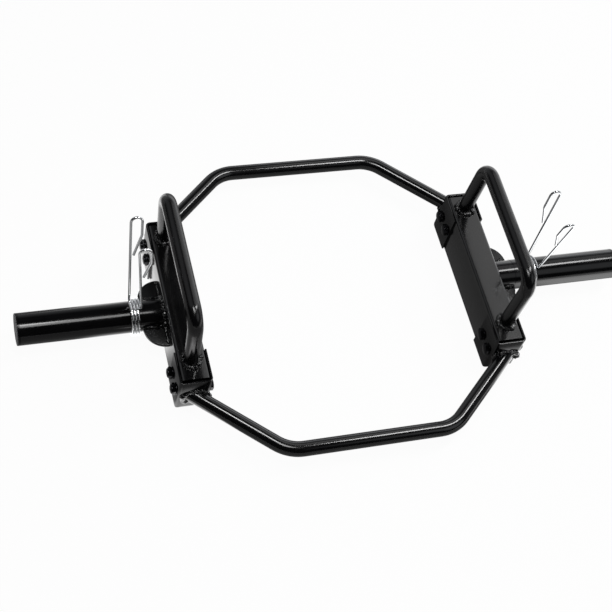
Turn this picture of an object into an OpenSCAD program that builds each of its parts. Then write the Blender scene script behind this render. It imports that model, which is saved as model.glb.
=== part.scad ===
// Hex trap bar: a six-sided lifting frame with raised D handles, two plate sleeves and spring collars.
// Millimetres, +Z up. The origin is on the floor under the middle of the frame, the sleeves run along X
// and the bar's front bar is on the -Y side.

/* [Rails] */
// distance from the middle of the bar to a rail's middle
rail_x = 257; // [240:1:300]
// width of a rail's box section
rail_w = 45; // [44:1:50]
// height of a rail's box section
rail_h = 80; // [70:1:90]
// wall of a rail's box section
rail_wall = 3; // [2:0.5:5]
// outside corner radius of a rail's box section
rail_corner = 5; // [4:0.5:8]
// distance from the middle of the bar to the outer face of a bracket's web
web_y = 148; // [140:1:170]

/* [Corner brackets] */
// thickness of the bracket plate
plate_t = 3; // [3:0.5:5]
// length of a bracket along the rail
bracket_len = 56; // [52:1:70]
// outside radius of the bracket's bends
bend_r = 7; // [6:0.5:10]
// radius of the bracket's bottom corner, seen from the side
corner_cut_r = 10; // [6:1:16]

/* [Bolts] */
// diameter of a bolt's shank
bolt_d = 10; // [8:1:12]
// how much wider a bolt's hole is than its shank
bolt_hole_gap = 0.5; // [0.3:0.1:1]
// distance from the web's outer face to the nearer bolt
bolt_edge = 16; // [15:0.5:17]
// distance between a corner's two bolts
bolt_spacing = 28; // [24:1:30]
// height of the bolts above the floor
bolt_z = 40; // [34:1:46]
// width of a bolt's head and nut across the flats
hex_af = 17; // [15:1:18]
// height of a bolt's head
head_h = 5; // [4:0.5:8]
// height of a nut's six-sided part
nut_h = 5; // [4:0.5:9]
// height of a nut's round crown
crown_h = 2; // [1:0.5:4]
// outside diameter of a washer
washer_d = 20; // [18:1:22]
// thickness of a washer
washer_t = 1.5; // [1.5:0.5:3]
// how far a bolt's end stands out of its nut
bolt_end = 0.5; // [0.5:0.5:4]

/* [Front and rear bars] */
// diameter of the round bar that makes the front and rear of the frame
bar_d = 24; // [22:1:28]
// distance from the middle of the bar to the straight part's axis
bar_y = 260; // [240:1:320]
// distance from the middle of the bar to the corner where straight part and leg would cross
bar_corner_x = 134; // [120:1:150]
// height of the bars' axis above the floor
bar_z = 40; // [34:1:46]
// bend radius of the bars' axis
bar_bend_r = 60; // [45:1:80]

/* [Handles] */
// diameter of a handle's round bar
handle_d = 24; // [22:1:30]
// distance from the middle of the bar to the foot of a handle, on top of the rail
handle_foot_x = 258; // [252:1:262]
// angle that a handle leans outwards
handle_lean = 3; // [0:0.5:5]
// distance that both handles stand behind the middle of the rails
handle_shift = 4; // [0:1:6]
// distance from the middle of a grip to the axis of its leg
leg_y = 113; // [95:1:116]
// height of a grip's axis above the floor
grip_z = 195; // [160:1:210]
// bend radius of a handle's axis
handle_bend_r = 26; // [24:1:40]

/* [Sleeves] */
// outside diameter of a sleeve, for plates with a 50.4 mm or larger bore
sleeve_d = 50; // [50:0.1:50.4]
// wall of a sleeve
sleeve_wall = 4; // [3:0.5:6]
// how much smaller the sleeve's radius is at its root, under the gussets
root_relief = 0.4; // [0.3:0.1:1]
// height of the sleeves' axis above the floor
sleeve_z = 43; // [38:1:46]
// distance from the middle of the bar to the end of a sleeve, its cap included
sleeve_end_x = 505; // [460:1:700]
// thickness of the end cap's rim
cap_t = 5; // [3:0.5:8]
// depth of the end cap's plug
cap_plug = 16; // [10:1:24]
// radius of the cap's rounded edge
cap_edge = 1.5; // [1:0.5:3]

/* [Gussets] */
// length of a gusset's two straight sides
gusset_r = 34; // [28:1:36]
// thickness of a gusset
gusset_t = 6; // [4:1:8]

/* [Weld beads] */
// width of a weld bead
weld_w = 4; // [2:0.5:5]

/* [Spring collars] */
// diameter of the collar's wire
wire_d = 4.2; // [3.5:0.1:4.5]
// distance between neighbouring turns of the coil, middle to middle
coil_pitch = 4.8; // [4.75:0.05:6]
// gap between the coil and the sleeve
coil_gap = 0.85; // [0.8:0.05:1.5]
// whole turns of the coil
coil_turns = 3; // [2:1:4]
// angle that each end of the coil runs on past the top, so that the arms' feet cross
foot_overlap = 8; // [5:1:20]
// bend radius of the wire's middle between the coil and an arm
foot_bend_r = 6; // [5:0.5:8]
// angle that each arm leans away from the other
arm_spread = 8; // [6:1:14]
// length of an arm from the coil to the top of its finger loop
arm_len = 156; // [90:1:170]
// width of a finger loop, wire middle to wire middle
loop_w = 17; // [12:1:20]
// length of the finger loop's straight return
loop_back = 28; // [18:1:30]
// length of the slanted tail that ends a finger loop
loop_tail = 34; // [24:1:36]
// distance from the middle of the bar to the left collar's inner side
left_collar_x = 314; // [314:1:340]
// distance from the middle of the bar to the right collar's inner side
right_collar_x = 336; // [314:1:360]
// angle that the left collar is turned on its sleeve, towards the rear of the frame
left_collar_turn = 8.5; // [0:0.5:20]
// angle that the right collar is turned on its sleeve, towards the front of the frame
right_collar_turn = 0.5; // [0:0.5:20]

/* [Hidden] */
$fn = 32;
bar_r = bar_d / 2;
handle_r = handle_d / 2;
sleeve_r = sleeve_d / 2;
rail_outer_x = rail_x + rail_w / 2;
cheek_x = rail_w / 2 + plate_t;
rail_end_y = web_y - bend_r;
cheek_end_y = web_y - bracket_len;
bolt_y1 = web_y - bolt_edge;
bolt_y2 = bolt_y1 - bolt_spacing;
washer_x = cheek_x + washer_t;
nut_x = washer_x + nut_h;
cap_x = sleeve_end_x - cap_t;
// how far a handle's legs run up from the rail to the grip's axis
handle_rise = (grip_z - rail_h) / cos(handle_lean);
leg_angle = round(4 * atan((bar_y - web_y) / (rail_x - bar_corner_x))) / 4;
// half the length of the bar's straight middle, and the length of a leg from its bend to the web
bar_straight = round(10 * (bar_corner_x - bar_bend_r * tan(leg_angle / 2))) / 10;
leg_len = (bar_y - web_y - bar_bend_r * (1 - cos(leg_angle))) / sin(leg_angle);
root_x = rail_outer_x + gusset_r + 0.5;
// the wire's inner corners stay clear of the sleeve also halfway between two rings of the coil
coil_rings = 24;
wire_sides = 6;
wire_r = wire_d / 2;
coil_r = (sleeve_r + coil_gap) / cos(180 / coil_rings) + wire_r;
inner_foot = 90 - foot_overlap;
coil_sweep = 360 * coil_turns + 2 * foot_overlap;
// the inner arm's piece takes the wire from the coil's front up over the sleeve
split_turn = 180 - inner_foot;
coil_w = wire_d + coil_pitch * coil_sweep / 360;
wire_lead = wire_d;
foot_turn = 90 + foot_overlap - arm_spread;
arm_shift = coil_pitch * coil_sweep / 360;
arm_lean = atan(arm_shift / arm_len);
loop_r = loop_w / 2;
curl_rings = 8;
tail_gap = wire_d + 0.8;

paint = [0.05, 0.05, 0.055];
zinc = [0.16, 0.16, 0.17];
chrome = [0.75, 0.76, 0.78];

// a cylinder along X that starts at the point where it is placed
module along_x(r, len) {
    rotate([0, 90, 0])
        cylinder(r = r, h = len);
}

// a cylinder along Y, centred
module along_y(r, len) {
    rotate([90, 0, 0])
        cylinder(r = r, h = len, center = true);
}

// a box with rounded long edges along Y, centred in X and Y, standing on z = 0
module round_box_y(w, h, len, r) {
    translate([-w / 2 + r, -len / 2, 0])
        cube([w - 2 * r, len, h]);
    translate([-w / 2, -len / 2, r])
        cube([w, len, h - 2 * r]);
    for (x = [-w / 2 + r, w / 2 - r])
        for (z = [r, h - r])
            translate([x, 0, z])
                along_y(r, len, $fn = 24);
}

// the places of the two bolts of one corner, as seen on the right front corner
module at_bolts() {
    for (y = [-bolt_y1, -bolt_y2])
        translate([0, y, bolt_z])
            children();
}

// one copy for each corner; the bolt heads face the inside of the frame on both sides
module at_corners() {
    for (side = [0, 1])
        for (end = [0, 1])
            mirror([side, 0, 0])
                mirror([0, end, 0])
                    translate([rail_x, 0, 0])
                        children();
}

// one rail, with the holes of its eight bolt passages
module rail() {
    difference() {
        round_box_y(rail_w, rail_h, 2 * rail_end_y, rail_corner);
        translate([0, 0, rail_wall])
            round_box_y(
                rail_w - 2 * rail_wall, rail_h - 2 * rail_wall, 2 * rail_end_y + 2, rail_corner - rail_wall);
        for (end = [0, 1])
            mirror([0, end, 0])
                at_bolts()
                    translate([-cheek_x, 0, 0])
                        along_x((bolt_d + bolt_hole_gap) / 2, 2 * cheek_x, $fn = 16);
    }
}

// the bracket's plate seen from above: the web across the rail's end and a cheek on each side
module bracket_plan() {
    web_len = 2 * (cheek_x - bend_r);
    translate([-web_len / 2, -web_y])
        square([web_len, plate_t]);
    for (side = [0, 1])
        mirror([side, 0]) {
            translate([cheek_x - plate_t, -web_y + bend_r])
                square([plate_t, bracket_len - bend_r]);
            intersection() {
                translate([cheek_x - bend_r, -web_y + bend_r])
                    difference() {
                        circle(r = bend_r);
                        circle(r = bend_r - plate_t);
                    }
                translate([cheek_x - bend_r, -web_y])
                    square(bend_r);
            }
        }
}

// what the rounded bottom corner takes off the bracket
module corner_cut() {
    difference() {
        translate([-cheek_x - 1, -web_y - 1, -1])
            cube([2 * cheek_x + 2, corner_cut_r + 1, corner_cut_r + 1]);
        translate([0, -web_y + corner_cut_r, corner_cut_r])
            rotate([0, 90, 0])
                cylinder(r = corner_cut_r, h = 2 * cheek_x + 4, center = true);
    }
}

// one bent bracket at the right front corner, about the rail's middle line
module bracket() {
    difference() {
        linear_extrude(rail_h)
            bracket_plan();
        corner_cut();
        at_bolts()
            translate([-cheek_x - 1, 0, 0])
                along_x((bolt_d + bolt_hole_gap) / 2, 2 * cheek_x + 2, $fn = 16);
    }
}

// one through bolt with its six-sided head towards the inside of the frame
module bolt() {
    translate([-washer_x - head_h, 0, 0])
        along_x(hex_af / 2 / cos(30), head_h, $fn = 6);
    translate([-washer_x - 0.01, 0, 0])
        along_x(bolt_d / 2, washer_x + nut_x + crown_h + bolt_end, $fn = 16);
}

module washer() {
    difference() {
        along_x(washer_d / 2, washer_t, $fn = 20);
        translate([-1, 0, 0])
            along_x((bolt_d + bolt_hole_gap) / 2, washer_t + 2, $fn = 16);
    }
}

// one lock nut: a six-sided body and a round crown
module nut() {
    difference() {
        union() {
            along_x(hex_af / 2 / cos(30), nut_h, $fn = 6);
            along_x(hex_af / 2 - 1, nut_h + crown_h, $fn = 16);
        }
        translate([-1, 0, 0])
            along_x(bolt_d / 2 + 0.05, nut_h + crown_h + 2, $fn = 16);
    }
}

// the bent round bar at the front of the frame, its ends cut flush with the brackets' webs
module bent_bar() {
    difference() {
        union() {
            translate([-bar_straight, -bar_y, bar_z])
                along_x(bar_r, 2 * bar_straight);
            for (side = [0, 1])
                mirror([side, 0, 0]) {
                    translate([bar_straight, -bar_y + bar_bend_r, bar_z])
                        rotate([0, 0, -90])
                            rotate_extrude(angle = leg_angle)
                                translate([bar_bend_r, 0])
                                    circle(r = bar_r);
                    // a hair thinner than the bend, so that it joins the bend from inside
                    bar_leg(bar_r - 0.02, -0.2, leg_len + 2 * bar_r);
                }
        }
        translate([-rail_x - 80, -web_y, 0])
            cube([2 * rail_x + 160, 60, rail_h]);
    }
}

// a slanted leg's straight part, of radius r, between two distances from the end of its bend
module bar_leg(r, from, to) {
    translate([bar_straight, -bar_y + bar_bend_r, bar_z])
        rotate([0, 0, leg_angle])
            translate([from, -bar_bend_r, 0])
                along_x(r, to - from);
}

// the bead round the end of one leg
module leg_weld() {
    difference() {
        intersection() {
            bar_leg(bar_r + weld_w, leg_len / 2, leg_len + 2 * bar_r);
            translate([0, -web_y - weld_w, 0])
                cube([rail_x + 60, weld_w, rail_h]);
        }
        bar_leg(bar_r, leg_len / 3, leg_len + 3 * bar_r);
    }
}

// places what it carries at the middle of the right handle's feet, with +Z up along the leaning legs
module in_handle_plane() {
    translate([handle_foot_x, handle_shift, rail_h])
        rotate([0, handle_lean, 0])
            children();
}

// a D handle that stands on the rail, its legs cut flush with the rail's top; grip and legs are a hair
// thinner than the bends, so that they join the bends from inside
module handle() {
    grip_half = leg_y - handle_bend_r;
    straight_r = handle_r - 0.05;
    difference() {
        in_handle_plane() {
            translate([0, 0, handle_rise])
                along_y(straight_r, 2 * grip_half + 1);
            for (end = [0, 1])
                mirror([0, end, 0]) {
                    translate([0, -grip_half, handle_rise - handle_bend_r])
                        rotate([90, 0, -90])
                            rotate_extrude(angle = 90)
                                translate([handle_bend_r, 0])
                                    circle(r = handle_r);
                    translate([0, -leg_y, -2])
                        cylinder(r = straight_r, h = handle_rise - handle_bend_r + 2.5);
                }
        }
        translate([handle_foot_x - 2 * handle_r, -leg_y - 2 * handle_r, rail_h - 8])
            cube([4 * handle_r, 2 * leg_y + 4 * handle_r + handle_shift, 8]);
    }
}

// the bead round each foot of a handle
module handle_weld() {
    for (y = [-leg_y, leg_y])
        difference() {
            translate([handle_foot_x, y + handle_shift, rail_h])
                cylinder(r1 = handle_r + weld_w, r2 = handle_r + 0.5, h = weld_w, $fn = 24);
            in_handle_plane()
                translate([0, y, -2])
                    cylinder(r = handle_r, h = weld_w + 4, $fn = 24);
        }
}

// a sleeve; its root, where the gussets are, is turned slightly smaller than the part that carries plates
module sleeve() {
    translate([rail_outer_x, 0, sleeve_z])
        difference() {
            union() {
                along_x(sleeve_r - root_relief, cap_x - rail_outer_x - 1, $fn = 48);
                translate([root_x - rail_outer_x, 0, 0])
                    along_x(sleeve_r, cap_x - root_x, $fn = 48);
            }
            translate([-1, 0, 0])
                along_x(sleeve_r - sleeve_wall, cap_x - rail_outer_x + 2, $fn = 48);
        }
}

// the end cap: a rim as wide as the sleeve, with a rounded edge, and a plug inside the tube
module end_cap() {
    translate([cap_x, 0, sleeve_z])
        rotate([0, 90, 0]) {
            rotate_extrude($fn = 48) {
                square([sleeve_r, cap_t - cap_edge]);
                square([sleeve_r - cap_edge, cap_t]);
                translate([sleeve_r - cap_edge, cap_t - cap_edge])
                    circle(r = cap_edge, $fn = 12);
            }
            translate([0, 0, -cap_plug])
                cylinder(r = sleeve_r - sleeve_wall - 0.05, h = cap_plug + 0.01, $fn = 48);
        }
}

// the front gusset of the right sleeve: a quarter-round plate in the corner of sleeve and rail
module gusset() {
    difference() {
        intersection() {
            translate([rail_outer_x, -sleeve_r, sleeve_z - gusset_t / 2])
                cylinder(r = gusset_r, h = gusset_t, $fn = 48);
            translate([rail_outer_x, -sleeve_r - gusset_r, 0])
                cube([gusset_r, sleeve_r + gusset_r - 20, rail_h]);
        }
        translate([0, 0, sleeve_z])
            along_x(sleeve_r - root_relief, sleeve_end_x, $fn = 48);
    }
}

// the bead round a sleeve's root, with room for the gussets
module sleeve_weld() {
    root_r = sleeve_r - root_relief;
    difference() {
        translate([rail_outer_x, 0, sleeve_z])
            rotate([0, 90, 0])
                difference() {
                    cylinder(r1 = root_r + weld_w, r2 = root_r + 0.5, h = weld_w, $fn = 48);
                    translate([0, 0, -1])
                        cylinder(r = root_r, h = weld_w + 2, $fn = 48);
                }
        translate([rail_outer_x, -sleeve_r - gusset_r, sleeve_z - gusset_t / 2])
            cube([gusset_r, 2 * (sleeve_r + gusset_r), gusset_t]);
    }
}

// the direction in the YZ plane at an angle from +Y towards +Z
function turned(a) = [0, cos(a), sin(a)];

// a path is a list of [middle, heading, side] rows; side points at the first corner of that ring

// middle of the coil's wire at a turn of a degrees from the inner arm's foot
function coil_point(a) = [wire_r + coil_pitch * a / 360, 0, 0] + coil_r * turned(inner_foot + a);

// a stretch of coil from one turn to another; way is 1 towards the outer arm, -1 towards the inner one
function coil_rows(from, to, way) =
    let (n = ceil(abs(to - from) / 360 * coil_rings))
        [for (i = [1 : n])
            let (a = from + (to - from) * i / n)
                [coil_point(a), way * turned(inner_foot + a + 90), turned(inner_foot + a)]];

// the ring where the coil meets the inner arm's piece, square to the coil's first stretch
function split_row(way) =
    let (half = (coil_sweep - split_turn) / ceil((coil_sweep - split_turn) / 360 * coil_rings) / 2)
        [coil_point(split_turn), way * turned(270 + half), turned(180 + half)];

// the bend from the coil into an arm, then a straight lead; a is the turn where the bend starts
function foot_rows(a, way) =
    let (
        f = inner_foot + a,
        middle = coil_point(a) + foot_bend_r * turned(f),
        end = middle - foot_bend_r * turned(f - way * foot_turn),
        up = way * turned(f - way * foot_turn + 90))
    concat(
        [for (i = [1 : curl_rings])
            let (t = f - way * foot_turn * i / curl_rings)
                [middle - foot_bend_r * turned(t), way * turned(t + 90), turned(t)]],
        [[end + wire_lead * up, up, turned(f - way * foot_turn)]]);

// a finger-loop arm seen flat as [along, across, heading]; across is towards the middle of the bar
loop_start = arm_len - wire_lead - loop_r;
arm_flat = [
    for (i = [0 : curl_rings])
        let (a = 180 * i / curl_rings)
            [loop_start + loop_r * sin(a), loop_r - loop_r * cos(a), a],
    [loop_start - loop_back + 4, loop_w, 180],
    [loop_start - loop_back, loop_w - 0.8, 190],
    [loop_start - loop_back - 4, loop_w - 2.2, 199],
    [loop_start - loop_back - loop_tail, tail_gap, 199]
];

// an arm from the last row of its foot on; lean tips it outwards, so that both finger loops line up
function arm_rows(last, lean) =
    let (
        up = cos(lean) * last[1] + [sin(lean), 0, 0],
        across = sin(lean) * last[1] - [cos(lean), 0, 0])
    concat(
        [last],
        [for (q = arm_flat)
            [last[0] + q[0] * up + q[1] * across, cos(q[2]) * up + sin(q[2]) * across, last[2]]]);

function last_row(path) = path[len(path) - 1];

coil_path = concat(
    [split_row(1)], coil_rows(split_turn, coil_sweep, 1), foot_rows(coil_sweep, 1));
outer_arm_path = arm_rows(last_row(coil_path), 0);
inner_foot_path = concat([split_row(-1)], coil_rows(split_turn, 0, -1), foot_rows(0, -1));
inner_arm_path = concat(
    [for (i = [0 : len(inner_foot_path) - 2]) inner_foot_path[i]],
    arm_rows(last_row(inner_foot_path), arm_lean));

// the corners of the tube round a path
function tube_points(path) = [
    for (q = path)
        let (across = cross(q[1], q[2]))
            for (j = [0 : wire_sides - 1])
                q[0] + wire_r * (cos(360 * j / wire_sides) * q[2] + sin(360 * j / wire_sides) * across)
];

// triangles of a tube with n rings: its sides and the two ends
function tube_faces(n) = [
    for (i = [0 : n - 2])
        for (j = [0 : wire_sides - 1])
            let (k = (j + 1) % wire_sides, a = i * wire_sides, b = a + wire_sides)
                each [[a + j, b + j, b + k], [a + j, b + k, a + k]],
    for (j = [1 : wire_sides - 2])
        [0, j, j + 1],
    for (j = [1 : wire_sides - 2])
        [(n - 1) * wire_sides, (n - 1) * wire_sides + j + 1, (n - 1) * wire_sides + j]
];

module tube(path) {
    polyhedron(points = tube_points(path), faces = tube_faces(len(path)), convexity = 8);
}

// least distance between the surfaces of two stretches of wire that aren't neighbours along a path
function least_gap(path, apart) = min([
    for (i = [0 : len(path) - 1])
        for (j = [i + apart : 1 : len(path) - 1])
            norm(path[i][0] - path[j][0])
]) - wire_d;

whole_wire = concat(
    [for (i = [len(inner_arm_path) - 1 : -1 : 1]) inner_arm_path[i]], coil_path, outer_arm_path);
echo(least_gap_of_coil = least_gap(coil_path, 12));
echo(least_gap_of_whole_wire = least_gap(whole_wire, 12));
echo(coil_width = coil_w);

// the three pieces of a collar, drawn for the right sleeve with the coil's inner side at x = 0
module collar_coil() {
    tube(coil_path);
}

module collar_inner_arm() {
    tube(inner_arm_path);
}

module collar_outer_arm() {
    tube(outer_arm_path);
}

module on_right_sleeve() {
    translate([right_collar_x, 0, sleeve_z])
        rotate([right_collar_turn, 0, 0])
            children();
}

// the left collar is the same collar turned half round
module on_left_sleeve() {
    translate([-left_collar_x, 0, sleeve_z])
        rotate([left_collar_turn, 0, 180])
            children();
}

module on_left() {
    mirror([1, 0, 0])
        children();
}

module at_rear() {
    mirror([0, 1, 0])
        children();
}

module left_rail() {
    color(paint)
        translate([-rail_x, 0, 0])
            rail();
}

module right_rail() {
    color(paint)
        translate([rail_x, 0, 0])
            rail();
}

module right_front_bracket() {
    color(paint)
        translate([rail_x, 0, 0])
            bracket();
}

module left_front_bracket() {
    on_left()
        right_front_bracket();
}

module right_rear_bracket() {
    at_rear()
        right_front_bracket();
}

module left_rear_bracket() {
    on_left()
        right_rear_bracket();
}

module frame_bolts() {
    color(zinc)
        at_corners()
            at_bolts()
                bolt();
}

module frame_washers() {
    color(zinc)
        at_corners()
            at_bolts()
                for (x = [-washer_x, cheek_x])
                    translate([x, 0, 0])
                        washer();
}

module frame_nuts() {
    color(zinc)
        at_corners()
            at_bolts()
                translate([washer_x, 0, 0])
                    nut();
}

module front_bar() {
    color(paint)
        bent_bar();
}

module rear_bar() {
    at_rear()
        front_bar();
}

module bar_welds() {
    color(paint)
        for (side = [0, 1])
            for (end = [0, 1])
                mirror([side, 0, 0])
                    mirror([0, end, 0])
                        leg_weld();
}

module right_handle() {
    color(paint)
        handle();
}

module left_handle() {
    on_left()
        right_handle();
}

module handle_welds() {
    color(paint) {
        handle_weld();
        on_left()
            handle_weld();
    }
}

module right_sleeve() {
    color(paint)
        sleeve();
}

module left_sleeve() {
    on_left()
        right_sleeve();
}

module right_end_cap() {
    color(paint)
        end_cap();
}

module left_end_cap() {
    on_left()
        right_end_cap();
}

module sleeve_welds() {
    color(paint) {
        sleeve_weld();
        on_left()
            sleeve_weld();
    }
}

module right_front_gusset() {
    color(paint)
        gusset();
}

module right_rear_gusset() {
    at_rear()
        right_front_gusset();
}

module left_front_gusset() {
    on_left()
        right_front_gusset();
}

module left_rear_gusset() {
    on_left()
        right_rear_gusset();
}

module left_collar_coil() {
    color(chrome)
        on_left_sleeve()
            collar_coil();
}

module left_collar_outer_arm() {
    color(chrome)
        on_left_sleeve()
            collar_outer_arm();
}

module left_collar_inner_arm() {
    color(chrome)
        on_left_sleeve()
            collar_inner_arm();
}

module right_collar_coil() {
    color(chrome)
        on_right_sleeve()
            collar_coil();
}

module right_collar_outer_arm() {
    color(chrome)
        on_right_sleeve()
            collar_outer_arm();
}

module right_collar_inner_arm() {
    color(chrome)
        on_right_sleeve()
            collar_inner_arm();
}

left_rail();
right_rail();
left_front_bracket();
right_front_bracket();
left_rear_bracket();
right_rear_bracket();
frame_bolts();
frame_washers();
frame_nuts();
front_bar();
rear_bar();
bar_welds();
left_handle();
right_handle();
handle_welds();
left_sleeve();
right_sleeve();
left_end_cap();
right_end_cap();
sleeve_welds();
left_front_gusset();
left_rear_gusset();
right_front_gusset();
right_rear_gusset();
left_collar_coil();
left_collar_outer_arm();
left_collar_inner_arm();
right_collar_coil();
right_collar_outer_arm();
right_collar_inner_arm();
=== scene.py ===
# Hex trap bar: a six-sided lifting frame with two raised handles, plate sleeves and spring collars.
# Metres, in the CAD frame: the floor is z = 0, the sleeves run along X and the front bar is at -Y.
import math
import bpy
import numpy as np
from mathutils import Matrix


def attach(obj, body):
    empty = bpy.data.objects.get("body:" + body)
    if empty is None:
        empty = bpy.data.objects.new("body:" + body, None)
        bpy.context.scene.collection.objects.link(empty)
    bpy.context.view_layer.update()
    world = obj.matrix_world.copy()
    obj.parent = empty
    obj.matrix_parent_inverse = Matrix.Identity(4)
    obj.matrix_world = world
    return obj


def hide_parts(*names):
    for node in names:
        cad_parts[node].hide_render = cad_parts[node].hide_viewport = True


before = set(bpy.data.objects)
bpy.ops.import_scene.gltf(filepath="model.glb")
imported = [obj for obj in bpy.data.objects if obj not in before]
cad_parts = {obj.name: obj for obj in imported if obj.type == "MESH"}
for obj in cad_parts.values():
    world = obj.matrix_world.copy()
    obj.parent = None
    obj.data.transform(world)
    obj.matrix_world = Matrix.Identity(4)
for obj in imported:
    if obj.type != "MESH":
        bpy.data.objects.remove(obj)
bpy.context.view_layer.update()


# Camera: a long lens above the left front corner, looking down across the frame. Its place, turn and
# focal length come from a fit to the straight edges of rails, bars, sleeves and grips.
camera_data = bpy.data.cameras.new("camera")
camera_data.sensor_width = 36
camera_data.lens = 78.82
camera = bpy.data.objects.new("camera", camera_data)
camera.matrix_world = Matrix((
    (0.955128, 0.108459, -0.275622, -0.63952),
    (-0.234877, 0.844270, -0.481707, -1.04940),
    (0.180454, 0.524829, 0.831860, 1.82749),
    (0, 0, 0, 1)))
camera_data.clip_end = 60
bpy.context.scene.collection.objects.link(camera)
bpy.context.scene.camera = camera


# Studio floor: a white sheet. To the camera it glows plain white and keeps a little of its own shade,
# which holds the bar's soft shadow. Shiny parts see it as a dim glow with painted light in it: paler
# patches beside the left rail, before the front brackets and beside the right sleeve, which paint
# reflections on the bar, and a darker one inside the right rail, a painted shadow of the rail.
floor_half, camera_glow, dim_floor = 14, 0.96, 0.28


def node_in(tree, kind, **values):
    """A new node of that kind, its inputs set by name, with _ for a space."""
    node = tree.nodes.new(kind)
    for key, value in values.items():
        node.inputs[key.replace("_", " ")].default_value = value
    return node


def maths(tree, operation, first, second=0):
    """A Math node's output; each value is a number or another node's output, and some operations take
    only the first."""
    node = tree.nodes.new("ShaderNodeMath")
    node.operation = operation
    for place, value in enumerate((first, second)):
        if isinstance(value, (int, float)):
            node.inputs[place].default_value = value
        else:
            tree.links.new(value, node.inputs[place])
    return node.outputs[0]


def eased(tree, value, start, stop, height):
    """A smooth rise from 0 to height as the value goes from start to stop."""
    ease = node_in(tree, "ShaderNodeMapRange", From_Min=start, From_Max=stop, To_Max=height)
    ease.interpolation_type = "SMOOTHSTEP"
    tree.links.new(value, ease.inputs["Value"])
    return ease.outputs["Result"]


def chained(tree, operation, *values):
    """Several values joined one after another by the same operation."""
    result = values[0]
    for value in values[1:]:
        result = maths(tree, operation, result, value)
    return result


floor_mesh = bpy.data.meshes.new("floor")
floor_mesh.from_pydata([
    (-floor_half, -floor_half, 0), (floor_half, -floor_half, 0),
    (floor_half, floor_half, 0), (-floor_half, floor_half, 0)], [], [(0, 1, 2, 3)])
floor = bpy.data.objects.new("floor", floor_mesh)
bpy.context.scene.collection.objects.link(floor)
floor_finish = bpy.data.materials.new("floor_sheet")
floor_finish.use_nodes = True
tree = floor_finish.node_tree
tree.nodes.clear()
sheet = node_in(tree, "ShaderNodeBsdfDiffuse", Color=(0.86, 0.86, 0.86, 1))
glow = node_in(tree, "ShaderNodeEmission", Color=(1, 1, 1, 1))
seen = tree.nodes.new("ShaderNodeLightPath")
mirrored = maths(tree, "MAXIMUM", seen.outputs["Is Glossy Ray"], seen.outputs["Is Transmission Ray"])
glow_seen = maths(tree, "MULTIPLY", seen.outputs["Is Camera Ray"], camera_glow)
shown = maths(tree, "MAXIMUM", glow_seen, mirrored)
where = tree.nodes.new("ShaderNodeTexCoord")
split = tree.nodes.new("ShaderNodeSeparateXYZ")
tree.links.new(where.outputs["Object"], split.inputs[0])
x, y = split.outputs["X"], split.outputs["Y"]
slant = maths(tree, "ADD", y, maths(tree, "MULTIPLY", x, 1.5))


def patch(strength, *edges):
    """A patch of painted light in the floor's glow, painted shade where the strength is negative: its
    strength times an eased edge for each (coordinate, outside, inside).
    """
    return chained(tree, "MULTIPLY", *(
        eased(tree, along, outside, inside, 1) for along, outside, inside in edges), strength)


# painted light: paler patches of glow that only shiny parts see, painting reflections on the rails,
# brackets and right sleeve
beside_left_rail = patch(1.3, (x, -0.22, -0.29), (x, -0.42, -0.36), (y, -0.07, -0.02))
before_left_bracket = patch(
    1.9, (x, -0.18, -0.22), (x, -0.34, -0.30), (y, -0.225, -0.19), (y, -0.13, -0.15))
before_right_bracket = patch(2.2, (x, 0.24, 0.30), (y, -0.02, -0.10), (y, -0.225, -0.19))
before_right_sleeve = patch(1.0, (x, 0.34, 0.42), (y, -0.01, -0.05), (slant, 0.28, 0.36))
behind_right_sleeve = patch(0.9, (x, 0.26, 0.34), (y, 0.01, 0.05))
# painted shadow: a darker patch in the floor's glow inside the right rail, where the rail shades the floor
painted_rail_shadow = patch(-0.14, (x, 0.12, 0.19), (x, 0.27, 0.25), (y, -0.2, -0.15))
lit = chained(tree, "ADD", dim_floor, beside_left_rail, before_left_bracket, before_right_bracket,
              before_right_sleeve, behind_right_sleeve, painted_rail_shadow)
strength = maths(tree, "MAXIMUM", seen.outputs["Is Camera Ray"], maths(tree, "MULTIPLY", mirrored, lit))
tree.links.new(strength, glow.inputs["Strength"])
blend_floor = tree.nodes.new("ShaderNodeMixShader")
tree.links.new(shown, blend_floor.inputs[0])
tree.links.new(sheet.outputs[0], blend_floor.inputs[1])
tree.links.new(glow.outputs[0], blend_floor.inputs[2])
out = tree.nodes.new("ShaderNodeOutputMaterial")
tree.links.new(blend_floor.outputs[0], out.inputs[0])
floor_mesh.materials.append(floor_finish)


# Studio room: the camera sees it plain white, as it sees the floor. Shiny parts see a dim room with two
# grey cloths overhead, paler walls at the back and the right and a window low down behind.
dim_room, horizon = 0.015, 0.02
room = bpy.data.worlds.new("room")
room.use_nodes = True
bpy.context.scene.world = room
tree = room.node_tree
tree.nodes.clear()
walls = node_in(tree, "ShaderNodeBackground", Color=(0.95, 0.97, 1, 1))
white = node_in(tree, "ShaderNodeBackground", Color=(1, 1, 1, 1), Strength=1.0)
seen = tree.nodes.new("ShaderNodeLightPath")
direction = tree.nodes.new("ShaderNodeTexCoord")
split = tree.nodes.new("ShaderNodeSeparateXYZ")
tree.links.new(direction.outputs["Generated"], split.inputs[0])
height = split.outputs["Z"]
low = maths(tree, "LESS_THAN", height, horizon)


def facing(way):
    """The cosine of the angle between the ray and the direction way."""
    product = tree.nodes.new("ShaderNodeVectorMath")
    product.operation = "DOT_PRODUCT"
    product.inputs[1].default_value = way
    tree.links.new(direction.outputs["Generated"], product.inputs[0])
    return product.outputs["Value"]


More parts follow.
